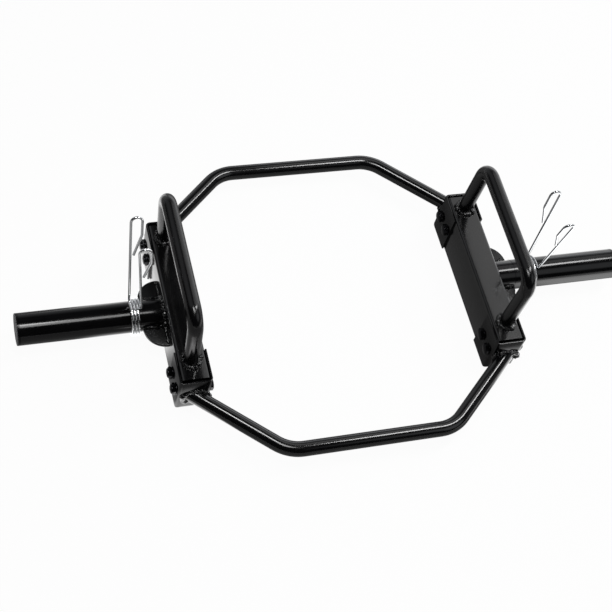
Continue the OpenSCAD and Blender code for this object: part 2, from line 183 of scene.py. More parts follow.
grey_cloth = eased(tree, facing((-0.42, 0.49, 0.76)), 0.84, 0.99, 0.35)
right_cloth = eased(tree, facing((0.60, -0.50, 0.63)), 0.925, 0.975, 0.6)
back_wall = eased(tree, facing((0.45, 0.89, 0)), 0.05, 0.6, 0.42)
right_wall = eased(tree, facing((0.85, 0.53, 0)), 0.72, 0.9, 0.6)
lower_part = eased(tree, height, 0.75, 0.2, 1)
both_walls = maths(tree, "MULTIPLY", maths(tree, "ADD", back_wall, right_wall), lower_part)
far_window = maths(tree, "MULTIPLY", eased(tree, facing((0.6, 0.8, 0)), 0.84, 0.93, 1.2),
                   eased(tree, height, 0.4, 0, 1))
room_light = chained(tree, "ADD", dim_room, grey_cloth, right_cloth, both_walls, far_window)
tree.links.new(room_light, walls.inputs["Strength"])
shiny = maths(tree, "MAXIMUM", seen.outputs["Is Glossy Ray"], seen.outputs["Is Transmission Ray"])
shown = maths(tree, "MAXIMUM", seen.outputs["Is Camera Ray"], maths(tree, "MULTIPLY", shiny, low))
blend_room = tree.nodes.new("ShaderNodeMixShader")
tree.links.new(shown, blend_room.inputs[0])
tree.links.new(walls.outputs[0], blend_room.inputs[1])
tree.links.new(white.outputs[0], blend_room.inputs[2])
out = tree.nodes.new("ShaderNodeOutputWorld")
tree.links.new(blend_room.outputs[0], out.inputs[0])


# Softboxes: three hang level above the bar and make the streaks on its round parts, and a wide one
# behind on the right makes the sheen on its flat tops.
softbox_z = 1.9


def softbox(name, place, aim, width, length, power, turn_by=0):
    """A rectangular area lamp at a place, facing the point aim and turned about its own axis by turn_by
    degrees."""
    lamp = bpy.data.lights.new(name, "AREA")
    lamp.shape = "RECTANGLE"
    lamp.size = width
    lamp.size_y = length
    lamp.energy = power
    lamp_object = bpy.data.objects.new(name, lamp)
    away = np.array(place, float) - np.array(aim, float)
    away /= np.linalg.norm(away)
    across = np.array((1.0, 0.0, 0.0)) - away[0] * away
    across /= np.linalg.norm(across)
    up = np.cross(away, across)
    spin = math.radians(turn_by)
    across, up = (math.cos(spin) * across + math.sin(spin) * up,
                  math.cos(spin) * up - math.sin(spin) * across)
    turn = np.eye(4)
    turn[:3, 0], turn[:3, 1], turn[:3, 2], turn[:3, 3] = across, up, away, place
    lamp_object.matrix_world = Matrix(turn.tolist())
    bpy.context.scene.collection.objects.link(lamp_object)


softbox("right_softbox", (1.03, 0.206, softbox_z), (1.03, 0.206, 0), 1.2, 0.3, 19, 29)
softbox("left_softbox", (-0.215, -0.484, softbox_z), (-0.215, -0.484, 0), 0.6, 0.42, 5.2, 29)
softbox("rear_softbox", (1.65, 1.35, 2.2), (0.2, 0, 0.05), 2.2, 1.5, 8.5)
softbox("front_left_softbox", (-0.44, -0.18, softbox_z), (-0.44, -0.18, 0), 0.36, 0.3, 6.5, -42)


# Rails: two box-section tubes that stand on the floor and carry everything else. Steel with rounded
# long edges, closed at the ends by the brackets' webs and powder coated in glossy black.
rail_x, rail_half = 0.257, 0.141
rail_w, rail_h, rail_wall, rail_corner = 0.045, 0.080, 0.003, 0.005


def loft(rings, joined=False):
    """Points and faces of a closed skin over rings of points, an (n, m, 3) array: each ring joins the
    next. With joined the last ring joins the first; otherwise a flat face closes each end. The faces
    are turned round where the skin's volume, a sum of products of its corners, comes out negative."""
    n, m, _ = rings.shape
    i, j = np.meshgrid(np.arange(n if joined else n - 1), np.arange(m), indexing="ij")
    after, beside = (i + 1) % n, (j + 1) % m
    quads = np.stack([i * m + j, i * m + beside, after * m + beside, after * m + j], axis=-1).reshape(-1, 4)
    faces = quads.tolist()
    points = rings.reshape(-1, 3)
    if not joined:
        faces += [list(range(m - 1, -1, -1)), list(range((n - 1) * m, n * m))]
    a, b, c, d = (points[quads[:, k]] for k in range(4))
    volume = np.einsum("ij,ij->", a, np.cross(b, c)) + np.einsum("ij,ij->", a, np.cross(c, d))
    if not joined:
        for ring in (rings[0][::-1], rings[-1]):
            volume += np.einsum("ij,ij->", np.broadcast_to(ring[0], ring[1:-1].shape),
                                np.cross(ring[1:-1], ring[2:]))
    if volume < 0:
        faces = [face[::-1] for face in faces]
    return points, faces


def moved(shape, turn=None, shift=(0, 0, 0)):
    """A shape turned by a 3x3 matrix and moved by shift; a mirror turns its faces round as well."""
    points, faces = shape
    turn = np.eye(3) if turn is None else np.array(turn, float)
    if np.linalg.det(turn) < 0:
        faces = [face[::-1] for face in faces]
    return points @ turn.T + np.array(shift), faces


def piece(name, shapes, finish, body, nodes, crease=32):
    """One finished object at the origin, made from several shapes. It stands for CAD nodes and rides on
    a body; edges sharper than crease degrees stay sharp."""
    points, faces, count = [], [], 0
    for shape_points, shape_faces in shapes:
        points.append(shape_points)
        faces += [[k + count for k in face] for face in shape_faces]
        count += len(shape_points)
    mesh = bpy.data.meshes.new(name)
    mesh.from_pydata(np.concatenate(points).tolist(), [], faces)
    mesh.polygons.foreach_set("use_smooth", np.ones(len(mesh.polygons), bool))
    mesh.set_sharp_from_angle(angle=math.radians(crease))
    mesh.update()
    mesh.materials.append(finish)
    made = bpy.data.objects.new(name, mesh)
    bpy.context.scene.collection.objects.link(made)
    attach(made, body)
    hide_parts(*nodes)


def rounded_box(w, h, r, steps=6):
    """Corners of a box section about the origin: a quarter circle of radius r in each corner."""
    a = np.linspace(0, np.pi / 2, steps)
    arc = np.stack([np.cos(a), np.sin(a)], axis=1) * r
    corners = [(1, 1, 0), (-1, 1, 1), (-1, -1, 2), (1, -1, 3)]
    turns = [np.array([[math.cos(q * math.pi / 2), math.sin(q * math.pi / 2)],
                       [-math.sin(q * math.pi / 2), math.cos(q * math.pi / 2)]]) for _, _, q in corners]
    return np.concatenate([arc @ turn + (sx * (w / 2 - r), sz * (h / 2 - r))
                           for (sx, sz, _), turn in zip(corners, turns)])


def finish_of(name, base, rough, metal=0.0):
    """A material with one Principled shader, its plain values set on the shader's own sockets."""
    made = bpy.data.materials.new(name)
    made.use_nodes = True
    shader = made.node_tree.nodes["Principled BSDF"]
    shader.inputs["Base Color"].default_value = (*base, 1)
    shader.inputs["Roughness"].default_value = rough
    shader.inputs["Metallic"].default_value = metal
    return made, made.node_tree, shader


def group_of(name, sockets):
    """An empty node group with the named inputs and outputs: (name, in or out, kind, default)."""
    group = bpy.data.node_groups.new(name, "ShaderNodeTree")
    for label, way, kind, default in sockets:
        made = group.interface.new_socket(
            name=label, in_out="INPUT" if way == "in" else "OUTPUT", socket_type="NodeSocket" + kind)
        if default is not None:
            made.default_value = default
    return group, group.nodes.new("NodeGroupInput"), group.nodes.new("NodeGroupOutput")


# Baked powder coat, used by every painted piece: orange peel, and clouds a little paler and duller
powder_coat, given, wanted = group_of("powder_coat", [
    ("Peel Scale", "in", "Float", 260.0), ("Peel Depth", "in", "Float", 0.12),
    ("Smooth", "in", "Float", 0.16), ("Dull", "in", "Float", 0.30),
    ("Dark", "in", "Color", (0.0012, 0.0012, 0.0014, 1)),
    ("Pale", "in", "Color", (0.004, 0.004, 0.0045, 1)),
    ("Color", "out", "Color", None), ("Roughness", "out", "Float", None),
    ("Normal", "out", "Vector", None)])
here = powder_coat.nodes.new("ShaderNodeTexCoord")
peel = node_in(powder_coat, "ShaderNodeTexNoise", Detail=2.0, Roughness=0.5)
cloud = node_in(powder_coat, "ShaderNodeTexNoise", Scale=14.0, Detail=4.0, Roughness=0.6)
for texture in (peel, cloud):
    powder_coat.links.new(here.outputs["Object"], texture.inputs["Vector"])
powder_coat.links.new(given.outputs["Peel Scale"], peel.inputs["Scale"])
bump = node_in(powder_coat, "ShaderNodeBump", Distance=0.0004)
powder_coat.links.new(given.outputs["Peel Depth"], bump.inputs["Strength"])
powder_coat.links.new(peel.outputs["Fac"], bump.inputs["Height"])
tone = powder_coat.nodes.new("ShaderNodeMix")
tone.data_type = "RGBA"
powder_coat.links.new(cloud.outputs["Fac"], tone.inputs[0])
powder_coat.links.new(given.outputs["Dark"], tone.inputs[6])
powder_coat.links.new(given.outputs["Pale"], tone.inputs[7])
gloss = node_in(powder_coat, "ShaderNodeMapRange", From_Min=0.3, From_Max=0.7)
powder_coat.links.new(cloud.outputs["Fac"], gloss.inputs["Value"])
powder_coat.links.new(given.outputs["Smooth"], gloss.inputs["To Min"])
powder_coat.links.new(given.outputs["Dull"], gloss.inputs["To Max"])
powder_coat.links.new(tone.outputs[2], wanted.inputs["Color"])
powder_coat.links.new(gloss.outputs["Result"], wanted.inputs["Roughness"])
powder_coat.links.new(bump.outputs["Normal"], wanted.inputs["Normal"])


def painted(name, shine=0.4, **values):
    """Gloss black powder coat; shine is the specular level, values are inputs of the powder_coat group."""
    made, tree, shader = finish_of(name, (0.002, 0.002, 0.002), 0.2)
    shader.inputs["Specular IOR Level"].default_value = shine
    coat = tree.nodes.new("ShaderNodeGroup")
    coat.node_tree = powder_coat
    for key, value in values.items():
        coat.inputs[key.replace("_", " ")].default_value = value
    tree.links.new(coat.outputs["Color"], shader.inputs["Base Color"])
    tree.links.new(coat.outputs["Roughness"], shader.inputs["Roughness"])
    tree.links.new(coat.outputs["Normal"], shader.inputs["Normal"])
    return made


rail_paint = painted("rail_paint", shine=0.85, Smooth=0.10, Dull=0.20)


def rail(side):
    """A hollow box tube: the outer section carried from end to end and the inner section back."""
    outer = rounded_box(rail_w, rail_h, rail_corner)
    inner = rounded_box(rail_w - 2 * rail_wall, rail_h - 2 * rail_wall, rail_corner - rail_wall)
    rows = [(outer, -rail_half), (outer, 0), (outer, rail_half),
            (inner, rail_half), (inner, 0), (inner, -rail_half)]
    rings = np.array([np.column_stack([
        side * rail_x + section[:, 0], np.full(len(section), y), rail_h / 2 + section[:, 1]])
        for section, y in rows])
    return loft(rings, joined=True)


piece("left_rail_tube", [rail(-1)], rail_paint, "frame", ["left_rail"])
piece("right_rail_tube", [rail(1)], rail_paint, "frame", ["right_rail"])


# Corner brackets: 3 mm steel plate bent to a U round each end of a rail, its web across the rail's end
# and a cheek on each side, with the bottom corner rounded. Two bolts through the rail hold each.
plate_t, bracket_len, bend_r, corner_cut_r, web_y = 0.003, 0.056, 0.007, 0.010, 0.148
cheek_x = rail_w / 2 + plate_t
plate_edge = 0.0005


def bracket():
    """A plate that follows the U seen from above. A ring at each step goes up the outer face, over the
    rounded top edge, down the inner face and round the bottom, whose height follows the corner's arc."""
    a, edge = np.linspace(0, np.pi / 2, 9), plate_edge
    straight_cheek = np.linspace(web_y - bracket_len, web_y - bend_r, 14)
    right = np.column_stack(np.broadcast_arrays(cheek_x, -straight_cheek, 1.0, 0.0))
    bend = np.column_stack([
        cheek_x - bend_r + bend_r * np.cos(a), -(web_y - bend_r) - bend_r * np.sin(a),
        np.cos(a), -np.sin(a)])
    straight_web = np.linspace(cheek_x - bend_r, -(cheek_x - bend_r), 12)
    web = np.column_stack(np.broadcast_arrays(straight_web, -web_y, 0.0, -1.0))
    left_bend = bend[::-1] * (-1, 1, -1, 1)
    left = right[::-1] * (-1, 1, -1, 1)
    plan = np.concatenate([right, bend[1:-1], web, left_bend[1:-1], left])
    point, outward = plan[:, :2], plan[:, 2:]
    # how deep in the plate each point of a ring lies, whether it is at the top, and how far it is lifted
    depth = np.array([0, 0, 0, edge * 0.3, edge, plate_t - edge, plate_t - edge * 0.3, plate_t, plate_t,
                      plate_t, plate_t - edge * 0.3, plate_t - edge, edge, edge * 0.3])
    high = np.array([0, 0, 1, 1, 1, 1, 1, 1, 0, 0, 0, 0, 0, 0])
    lift = np.array([edge, 2 * edge, -edge, -edge * 0.3, 0, 0, -edge * 0.3, -edge, 2 * edge,
                     edge, edge * 0.3, 0, 0, edge * 0.3])
    ring_xy = point[:, None, :] - outward[:, None, :] * depth[None, :, None]
    from_web = np.clip(web_y + ring_xy[:, :, 1], 0, corner_cut_r)
    foot = corner_cut_r - np.sqrt(corner_cut_r ** 2 - (corner_cut_r - from_web) ** 2)
    z = np.where(high[None, :] == 1, rail_h, foot) + lift[None, :]
    return loft(np.concatenate([ring_xy, z[:, :, None]], axis=2))


corner_turns = {
    "right_front": ((1, 0, 0), (0, 1, 0), (0, 0, 1)), "left_front": ((-1, 0, 0), (0, 1, 0), (0, 0, 1)),
    "right_rear": ((1, 0, 0), (0, -1, 0), (0, 0, 1)), "left_rear": ((-1, 0, 0), (0, -1, 0), (0, 0, 1))}
bracket_paint = painted("bracket_paint", Smooth=0.10, Dull=0.20)
for corner, turn in corner_turns.items():
    shape = moved(moved(bracket(), shift=(rail_x, 0, 0)), turn)
    piece(corner + "_bent_bracket", [shape], bracket_paint, "frame", [corner + "_bracket"])


# Bolts, washers and lock nuts: eight 10 mm bolts go through brackets and rails, with six-sided heads on
# the inside of the frame and lock nuts with a round crown outside, all plated in black zinc. The small
# steps in the profiles below are their chamfers and rounded edges.
bolt_d, hex_af, head_h, nut_h, crown_h = 0.010, 0.017, 0.005, 0.005, 0.002
washer_d, washer_t, bolt_z, bolt_end = 0.020, 0.0015, 0.040, 0.0005
bolt_ys = (0.132, 0.104)
washer_x = cheek_x + washer_t
zinc_finish, tree, shader = finish_of("black_zinc", (0.016, 0.016, 0.018), 0.16, metal=0.9)
grain = node_in(tree, "ShaderNodeTexNoise", Scale=420.0, Detail=3.0)
where = tree.nodes.new("ShaderNodeTexCoord")
tree.links.new(where.outputs["Object"], grain.inputs["Vector"])
zinc_bump = node_in(tree, "ShaderNodeBump", Strength=0.15, Distance=0.0002)
tree.links.new(grain.outputs["Fac"], zinc_bump.inputs["Height"])
tree.links.new(zinc_bump.outputs["Normal"], shader.inputs["Normal"])


def turned_along_x(x, radius, steps=48):
    """A turned form: a circle of each radius at each x, or of radius(x, angle) where that is a grid."""
    angle = np.linspace(0, 2 * np.pi, steps, endpoint=False)
    radius = np.broadcast_to(np.asarray(radius, float).reshape(len(x), -1), (len(x), steps))
    return np.stack([np.broadcast_to(np.asarray(x, float)[:, None], radius.shape),
                     radius * np.cos(angle), radius * np.sin(angle)], axis=2)


def hexagon(across_flats, x, turned_r, steps=72):
    """A hexagon cut by a cone: at each angle the radius is the smaller of the flat's distance,
    half the width over the cosine of the angle from the flat's middle, and the cone's radius there."""
    angle = np.linspace(0, 2 * np.pi, steps, endpoint=False)
    flat = across_flats / 2 / np.cos((angle + np.pi / 6) % (np.pi / 3) - np.pi / 6)
    return turned_along_x(x, np.minimum(flat[None, :], np.asarray(turned_r)[:, None]), steps)


def bolt():
    """Chamfered head towards -x, plain shank and a rounded end towards +x, about the bolt's axis."""
    point_r = hex_af / 2 / math.cos(math.pi / 6)
    top = -washer_x - head_h
    head = hexagon(hex_af, [top, top + 0.0003, top + 0.0012, -washer_x - 0.0002, -washer_x],
                   [hex_af / 2 - 0.0008, hex_af / 2 - 0.0003, point_r, point_r, point_r - 0.0003])
    end = washer_x + nut_h + crown_h + bolt_end
    shank = turned_along_x([-washer_x - 0.001, end - 0.0008, end - 0.0003, end],
                           [bolt_d / 2, bolt_d / 2, bolt_d / 2 - 0.0005, bolt_d / 2 - 0.0012])
    return [loft(head), loft(shank)]


def washer(x):
    """A flat ring with a rounded rim and a sheared edge at the hole."""
    low, high, hole = x, x + washer_t, bolt_d / 2 + 0.0002
    r = washer_d / 2
    return loft(turned_along_x(
        [low, low, low + 0.0003, high - 0.0004, high - 0.0001, high, high, high - 0.0002],
        [hole, r - 0.0003, r, r, r - 0.0003, r - 0.0008, hole + 0.0003, hole]), joined=True)


def nut():
    """A chamfered hexagon and a round crown that bends in over the locking ring."""
    point_r = hex_af / 2 / math.cos(math.pi / 6)
    crown_r, hole = hex_af / 2 - 0.0010, bolt_d / 2 + 0.0001
    x0, x1, x2 = washer_x, washer_x + nut_h, washer_x + nut_h + crown_h
    body = hexagon(hex_af, [x0, x0 + 0.0004, x1 - 0.0012, x1, x1],
                   [hex_af / 2 - 0.0002, point_r, point_r, hex_af / 2 - 0.0003, hex_af / 2 - 0.002])
    bore = turned_along_x([x1, x0], [hole, hole], 72)
    crown = turned_along_x(
        [x1 - 0.0005, x1 + 0.0006, x1 + 0.0014, x2 - 0.0001, x2, x2 - 0.0004, x1 - 0.0005],
        [crown_r, crown_r, crown_r - 0.0003, crown_r - 0.0012, crown_r - 0.0020, hole + 0.0006, hole], 72)
    return [loft(np.concatenate([body, bore]), joined=True), loft(crown, joined=True)]


def at_every_bolt(shapes):
    """The shapes at both bolts of all four corners; the heads face the inside of the frame."""
    return [moved(moved(shape, shift=(rail_x, -y, bolt_z)), turn)
            for turn in corner_turns.values() for y in bolt_ys for shape in shapes]


piece("through_bolts", at_every_bolt(bolt()), zinc_finish, "frame", ["frame_bolts"])
piece("flat_washers", at_every_bolt([washer(-washer_x), washer(cheek_x)]), zinc_finish,
      "frame", ["frame_washers"])
piece("lock_nuts", at_every_bolt(nut()), zinc_finish, "frame", ["frame_nuts"])


# Front and rear bars: 24 mm round steel bar bent twice, to a straight middle and two slanted legs that
# close the hexagon. Cut flush with the brackets' webs, welded to them and powder coated.
bar_r, bar_y, bar_z, bar_bend_r, bar_corner_x = 0.012, 0.260, 0.040, 0.060, 0.134
leg_angle = math.radians(42.25)
bar_straight = round(bar_corner_x - bar_bend_r * math.tan(leg_angle / 2), 4)
leg_len = (bar_y - web_y - bar_bend_r * (1 - math.cos(leg_angle))) / math.sin(leg_angle)
bar_paint = painted("bar_paint", shine=0.7, Peel_Depth=0.015, Smooth=0.13, Dull=0.18)


def carried(path, heading, side, radius, steps=40):
    """A round section carried along a path: at each point a circle of the given radius in the plane of
    side and heading x side, both unit vectors."""
    angle = np.linspace(0, 2 * np.pi, steps, endpoint=False)
    across = np.cross(heading, side)
    radius = np.broadcast_to(np.asarray(radius, float), len(path))[:, None, None]
    return path[:, None, :] + radius * (np.cos(angle)[None, :, None] * side[:, None, :]
                                        + np.sin(angle)[None, :, None] * across[:, None, :])


def flat_path(start, turns):
    """A path of straights and arcs in a plane: start is (x, y, heading), turns is a list of (length, bend
    radius, bend angle). A bend's points are its middle plus the radius square to the heading, in steps
    of 4 degrees. Returns points and heading angles."""
    points, angles = [np.array([start[:2]], float)], [np.array([start[2]], float)]
    for length, r, bend in turns:
        base, angle = points[-1][-1], angles[-1][-1]
        steps = max(2, int(length / 0.02))
        share = np.arange(1, steps + 1)[:, None] / steps
        points.append(base + np.array([math.cos(angle), math.sin(angle)]) * length * share)
        angles.append(np.full(steps, angle))
        if bend:
            side = math.copysign(r, bend)
            middle = points[-1][-1] + side * np.array([-math.sin(angle), math.cos(angle)])
            steps = max(3, int(abs(math.degrees(bend)) / 4))
            now = angle + bend * np.arange(1, steps + 1) / steps
            points.append(middle + side * np.column_stack([np.sin(now), -np.cos(now)]))
            angles.append(now)
    return np.concatenate(points), np.concatenate(angles)


half_bar = [(bar_straight, bar_bend_r, leg_angle), (leg_len, 0, 0)]


def bent_bar():
    """Half of the plan is walked from the middle to the web, mirrored, and the end rings are slid along
    the leg onto the web's plane."""
    points, angles = flat_path((0, -bar_y, 0), half_bar)
    points = np.concatenate([points[:0:-1] * (-1, 1), points])
    angles = np.concatenate([-angles[:0:-1], angles])
    path = np.column_stack([points, np.full(len(points), bar_z)])
    heading = np.column_stack([np.cos(angles), np.sin(angles), np.zeros(len(angles))])
    side = np.broadcast_to((0.0, 0.0, 1.0), heading.shape)
    rings = carried(path, heading, side, bar_r)
    for end in (0, -1):
        slide = (-web_y - rings[end][:, 1]) / heading[end][1]
        rings[end] = rings[end] + slide[:, None] * heading[end]
    return loft(rings)


piece("front_round_bar", [bent_bar()], bar_paint, "frame", ["front_bar"])
piece("rear_round_bar", [moved(bent_bar(), corner_turns["right_rear"])], bar_paint,
      "frame", ["rear_bar"])


# Weld beads: steel laid by hand in overlapping ripples, under the same paint as the frame. One runs
# round each leg of the bars, and further down one round each handle foot and each sleeve's root.
weld_w, leg_weld_w, handle_weld_w, root_depth = 0.004, 0.0055, 0.0052, 0.0008
weld_paint = painted("weld_paint", shine=1.0, Peel_Scale=600.0, Peel_Depth=1.0, Smooth=0.08, Dull=0.2)


def bead(curve, first, second, ripples, seed, size=weld_w, joined=True):
    """A bulging bead in the corner of two faces that run off along the unit vectors first and second.
    Each section is an arc about the corner from one face to the other; its reach swells and dips with a
    row of ripples, 1 - phase^2 each, and with slow waves, so that it looks laid by hand. In a corner
    narrower than a right angle the reach grows with one over the angle's sine."""
    t = np.arange(len(curve)) / len(curve)
    phase = (t * ripples + 0.5 * np.sin(2 * np.pi * (2 * t + seed)) + 0.3 * np.sin(
        2 * np.pi * (5 * t + 2.1 * seed))) % 1.0
    waves = 0.13 * np.sin(2 * np.pi * (3 * t + seed)) + 0.09 * np.sin(2 * np.pi * (7 * t + 2.3 * seed))
    cosine = np.clip((first * second).sum(axis=1), -0.95, 0.95)
    sine = np.sqrt(1 - cosine ** 2)
    wide = np.arccos(cosine)
    square = (second - cosine[:, None] * first) / sine[:, None]
    depth = 0.34 + 0.14 * np.sin(2 * np.pi * (3 * t + 1.7 * seed))
    reach = size * (0.74 + depth * (1 - (2 * phase - 1) ** 2) + waves) / np.where(cosine > 0, sine, 1)
    a = np.linspace(-0.12, 1.12, 12)[None, :] * wide[:, None]
    turn = 2 * np.pi * t[:, None]
    bulge = 1 + 0.12 * np.sin(np.clip(a / wide[:, None], 0, 1) * np.pi) + 0.05 * np.sin(
        11 * turn + 3 * a + 9 * seed) + 0.05 * np.sin(23 * turn - 5 * a + 4 * seed)
    arc = (reach[:, None] * bulge)[:, :, None] * (
        np.cos(a)[:, :, None] * first[:, None, :] + np.sin(a)[:, :, None] * square[:, None, :])
    root = -root_depth * (first + second)[:, None, :]
    return loft(curve[:, None, :] + np.concatenate([arc, root], axis=1), joined=joined)


round_steps = 216


def leg_bead(seed):
    """The bead follows the ellipse in which the slanted leg meets the web."""
    angle = np.linspace(0, 2 * np.pi, round_steps, endpoint=False)
    points, _ = flat_path((0, -bar_y, 0), half_bar)
    wide = bar_r / math.sin(leg_angle)
    curve = np.column_stack(np.broadcast_arrays(
        points[-1, 0] + wide * np.cos(angle), -web_y, bar_z + bar_r * np.sin(angle)))
    out = np.column_stack([np.cos(angle) * bar_r, 0 * angle, np.sin(angle) * wide])
    out /= np.linalg.norm(out, axis=1)[:, None]
    along_leg = np.broadcast_to((-math.cos(leg_angle), -math.sin(leg_angle), 0.0), out.shape)
    return bead(curve, out, along_leg, 13, seed, leg_weld_w)


round_crease = 60
leg_beads = [moved(leg_bead(0.1 + 0.23 * k), turn) for k, turn in enumerate(corner_turns.values())]
piece("leg_beads", leg_beads, weld_paint, "frame", ["bar_welds"], round_crease)


# Handles: 24 mm round steel bar bent twice at right angles to a D, powder coated a little duller where
# hands go. They lean outwards, and their feet are cut flush with the rails' tops and welded there.
handle_r, handle_foot_x, handle_shift, leg_y = 0.012, 0.258, 0.004, 0.113
grip_z, handle_bend_r, handle_lean = 0.195, 0.026, math.radians(3)
handle_paint = painted("handle_paint", shine=0.5, Smooth=0.16, Dull=0.28)


def handle():
    """Up a leg, round a quarter circle, along the grip and down the other leg, in a plane that leans
    outwards; the end rings are slid along the legs onto the rail's top."""
    rise = (grip_z - rail_h) / math.cos(handle_lean) - handle_bend_r
    grip = 2 * (leg_y - handle_bend_r)
    points, angles = flat_path((-leg_y, 0, math.pi / 2), [
        (rise, handle_bend_r, -math.pi / 2), (grip, handle_bend_r, -math.pi / 2), (rise, 0, 0)])
    up = np.array((math.sin(handle_lean), 0, math.cos(handle_lean)))
    along = np.array((0.0, 1.0, 0.0))
    path = np.array((handle_foot_x, handle_shift, rail_h)) + points[:, :1] * along + points[:, 1:] * up
    heading = np.cos(angles)[:, None] * along + np.sin(angles)[:, None] * up
    rings = carried(path, heading, np.broadcast_to(np.cross(along, up), heading.shape), handle_r)
    for end in (0, -1):
        slide = (rail_h - rings[end][:, 2]) / heading[end][2]
        rings[end] = rings[end] + slide[:, None] * heading[end]
    return loft(rings)


mirror_x = ((-1, 0, 0), (0, 1, 0), (0, 0, 1))
piece("right_grip_handle", [handle()], handle_paint, "frame", ["right_handle"])
piece("left_grip_handle", [moved(handle(), mirror_x)], handle_paint, "frame",
      ["left_handle"])


def ring_bead(place, normal, first, radius, ripples, seed, size=weld_w):
    """A bead round a circle of that radius about place, in the plane square to normal."""
    angle = np.linspace(0, 2 * np.pi, round_steps, endpoint=False)
    normal, first = np.array(normal, float), np.array(first, float)
    second = np.cross(normal, first)
    out = np.cos(angle)[:, None] * first + np.sin(angle)[:, None] * second
    curve = np.array(place, float) + radius * out
    return bead(curve, out, np.broadcast_to(normal, out.shape), ripples, seed, size)


feet = [(x, y + handle_shift) for x in (-handle_foot_x, handle_foot_x) for y in (-leg_y, leg_y)]
foot_beads = [ring_bead((x, y, rail_h), (0, 0, 1), (1, 0, 0), handle_r, 11, 0.31 * k, handle_weld_w)
              for k, (x, y) in enumerate(feet)]
piece("handle_beads", foot_beads, weld_paint, "frame", ["handle_welds"], round_crease)


# Sleeves: 50 mm steel tubes that carry the plates, welded to the rails' outer faces and powder coated.
# The root, between the gussets, is turned slightly thinner.
sleeve_r, sleeve_wall, root_relief, sleeve_z = 0.025, 0.004, 0.0004, 0.043
root_x, middle_x, cap_x = 0.314, 0.40, 0.500
rail_outer_x = rail_x + rail_w / 2
mouth_edge = 0.0003
sleeve_paint = painted("sleeve_paint", Peel_Depth=0.02, Smooth=0.10, Dull=0.17)


def sleeve():
    """A tube: outer radius with a small step at the end of the root, and the bore back inside."""
    root_r, bore = sleeve_r - root_relief, sleeve_r - sleeve_wall
    x = [rail_outer_x, root_x - 0.0006, root_x, middle_x, cap_x - mouth_edge,
         cap_x, cap_x - mouth_edge, middle_x, rail_outer_x]
    r = [root_r, root_r, sleeve_r, sleeve_r, sleeve_r, sleeve_r - mouth_edge, bore, bore, bore]
    return moved(loft(turned_along_x(x, r, 96), joined=True), shift=(0, 0, sleeve_z))


piece("right_sleeve_tube", [sleeve()], sleeve_paint, "frame", ["right_sleeve"])
piece("left_sleeve_tube", [moved(sleeve(), mirror_x)], sleeve_paint, "frame",
      ["left_sleeve"])


# End caps: steel plugs with a rounded rim, pressed into the sleeves' outer ends and coated with them.
# The rims' outermost edge is painted pale bare steel in places: partly wear from loading plates, partly a
# painted highlight along the rim.
cap_face, cap_edge, plug_depth, plug_gap = 0.505, 0.0015, 0.016, 0.00005
dish_depth, dish_rim_r, dish_r, middle_r = 0.0004, 0.0205, 0.0195, 0.004


def end_cap():
    """A rim with a rounded edge, a slightly dished face and a plug inside the tube, turned about x."""
    a = np.linspace(0, np.pi / 2, 6)
    rim_x = cap_face - cap_edge + cap_edge * np.sin(a)
    rim_r = sleeve_r - cap_edge + cap_edge * np.cos(a)
    plug_r, plug_x, dish_x = sleeve_r - sleeve_wall - plug_gap, cap_x - plug_depth, cap_face - dish_depth
    x = np.concatenate([[plug_x, plug_x + 0.001, cap_x, cap_x], rim_x, [cap_face, dish_x, dish_x]])
    r = np.concatenate([[plug_r - 0.001, plug_r, plug_r, sleeve_r], rim_r, [dish_rim_r, dish_r, middle_r]])
    return moved(loft(turned_along_x(x, r, 96)), shift=(0, 0, sleeve_z))


cap_paint = painted("cap_paint", shine=0.2, Smooth=0.14, Dull=0.24)
# the mask of the pale edge, wear and a painted rim highlight: the last 1.5 mm before the face, where the
# rim lies farthest from the axis
tree = cap_paint.node_tree
shader = tree.nodes["Principled BSDF"]
here = tree.nodes.new("ShaderNodeTexCoord")
split = tree.nodes.new("ShaderNodeSeparateXYZ")
tree.links.new(here.outputs["Object"], split.inputs[0])
across = maths(tree, "POWER", split.outputs["Y"], 2)
above = maths(tree, "POWER", maths(tree, "SUBTRACT", split.outputs["Z"], sleeve_z), 2)
from_axis = maths(tree, "SQRT", maths(tree, "ADD", across, above))
rim_noise = node_in(tree, "ShaderNodeTexNoise", Scale=120.0, Detail=2.0)
tree.links.new(here.outputs["Object"], rim_noise.inputs["Vector"])
ragged = maths(tree, "ADD", from_axis, maths(tree, "MULTIPLY", rim_noise.outputs["Fac"], 0.0012))
outwards = maths(tree, "ABSOLUTE", split.outputs["X"])
# wear and painted highlight: a pale bare ring along the rim's outer edge
rim_wear_and_highlight = maths(tree, "MULTIPLY", eased(tree, ragged, 0.0242, 0.0247, 0.6),
             eased(tree, outwards, 0.5034, 0.5038, 1))
pale_rim_mix = tree.nodes.new("ShaderNodeMix")
pale_rim_mix.data_type = "RGBA"
tree.links.new(rim_wear_and_highlight, pale_rim_mix.inputs[0])
tree.links.new(shader.inputs["Base Color"].links[0].from_socket, pale_rim_mix.inputs[6])
pale_rim_mix.inputs[7].default_value = (0.4, 0.4, 0.41, 1)
tree.links.new(pale_rim_mix.outputs[2], shader.inputs["Base Color"])
tree.links.new(rim_wear_and_highlight, shader.inputs["Metallic"])
rim_roughness = maths(tree, "MAXIMUM", shader.inputs["Roughness"].links[0].from_socket, rim_wear_and_highlight)
tree.links.new(rim_roughness, shader.inputs["Roughness"])
piece("right_cap_plug", [end_cap()], cap_paint, "frame", ["right_end_cap"])
piece("left_cap_plug", [moved(end_cap(), mirror_x)], cap_paint, "frame", ["left_end_cap"])


# Gussets: quarter-round plates of 6 mm steel, flat in the corners before and behind each sleeve, where it
# meets the rail. Welded along both straight edges and coated with a duller, rougher coat.
gusset_r, gusset_t, gusset_edge = 0.034, 0.006, 0.0006


